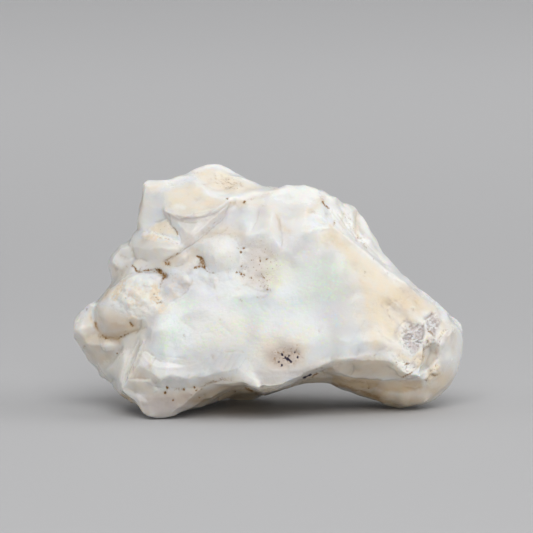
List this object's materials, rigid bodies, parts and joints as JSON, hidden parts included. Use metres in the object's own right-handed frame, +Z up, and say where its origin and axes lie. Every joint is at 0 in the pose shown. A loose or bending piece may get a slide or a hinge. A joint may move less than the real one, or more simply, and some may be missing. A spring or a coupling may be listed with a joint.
{
  "type": "rough opal specimen",
  "caption": "Rough white opal specimen: a broad broken face, a ragged end and an arched underside, standing on three feet.",
  "frame": {"origin": "centre of the bounding box in plan, on the plane the three feet stand on", "axes": "+X to the right along the longest side, facing the broad face; +Y away from the viewer, to the back; +Z up"},
  "size_m": [0.0777, 0.0428, 0.0476],
  "materials": {
    "opal": "milky, waxy, with frosted and crusted patches"
  },
  "bodies": {
    "root": {"opal": "opal"}
  },
  "joints": []
}
